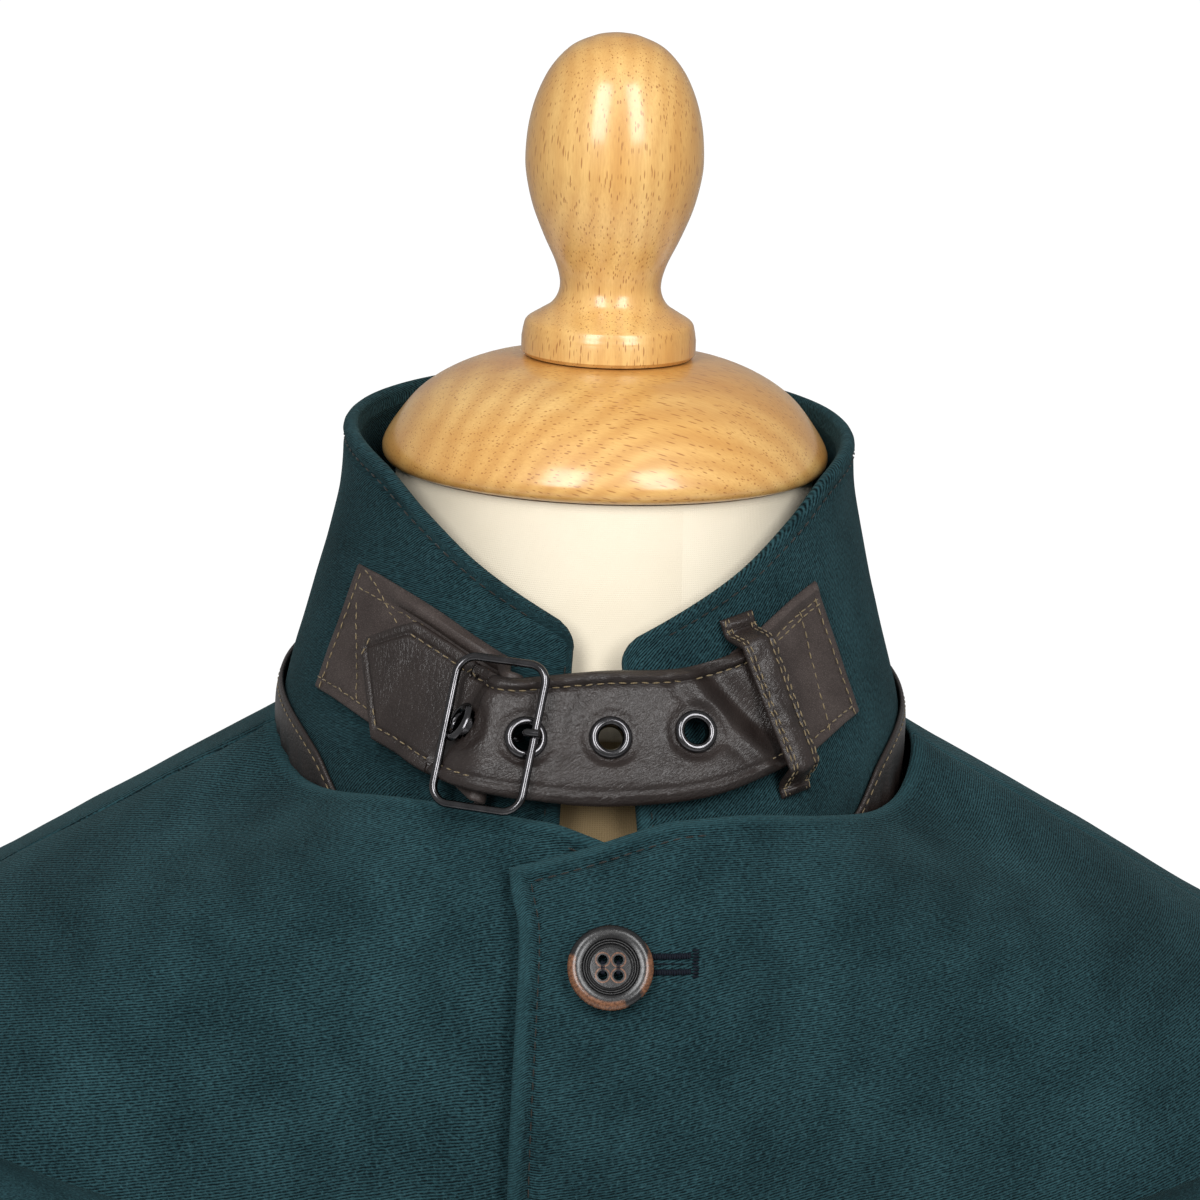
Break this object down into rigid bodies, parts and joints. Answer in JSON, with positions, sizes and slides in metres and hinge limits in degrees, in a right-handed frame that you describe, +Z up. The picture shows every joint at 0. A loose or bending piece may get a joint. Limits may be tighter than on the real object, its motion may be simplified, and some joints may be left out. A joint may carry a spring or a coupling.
{
  "type": "moleskin jacket with a buckled throat strap, on a limbless dress form",
  "caption": "Single-breasted moleskin jacket with a turned-up stand collar closed by a buckled leather throat strap, worn by a limbless calico dress form on a turned wooden stand.",
  "frame": {"origin": "centre of the whole at floor level: on the stand's axis, under its round base", "axes": "+X to the wearer's left, -Y to the wearer's front, +Z up along the stand's pole"},
  "size_m": [0.637, 0.38, 1.6166],
  "materials": {
    "moleskin": "brushed cotton moleskin, petrol teal, soft short nap with a faint twill",
    "dark_leather": "dark brown leather, fine grain, semi-gloss",
    "gunmetal": "dark gunmetal plating, polished",
    "burnished_horn": "near-black horn with burnished copper-brown edges, satin",
    "varnished_beech": "turned beech under a glossy honey varnish",
    "calico": "unbleached calico, plain weave, matte"
  },
  "bodies": {
    "root": {"anchor_patch": "dark_leather", "back": "moleskin", "buckle_bar": "gunmetal", "buckle_frame": "gunmetal", "buckle_prong": "gunmetal", "buckle_tab": "dark_leather", "button_1": "burnished_horn", "button_2": "burnished_horn", "button_3": "burnished_horn", "button_4": "burnished_horn", "collar": "moleskin", "eyelet_1": "gunmetal", "eyelet_2": "gunmetal", "eyelet_3": "gunmetal", "eyelet_4": "gunmetal", "finial": "varnished_beech", "form_torso": "calico", "front_left": "moleskin", "front_right": "moleskin", "keeper": "dark_leather", "neck_cap": "varnished_beech", "stand_base": "varnished_beech", "stand_pole": "varnished_beech", "throat_strap": "dark_leather", "top_sleeve_left": "moleskin", "top_sleeve_right": "moleskin", "under_sleeve_left": "moleskin", "under_sleeve_right": "moleskin", "undercollar_band": "dark_leather"}
  },
  "joints": []
}
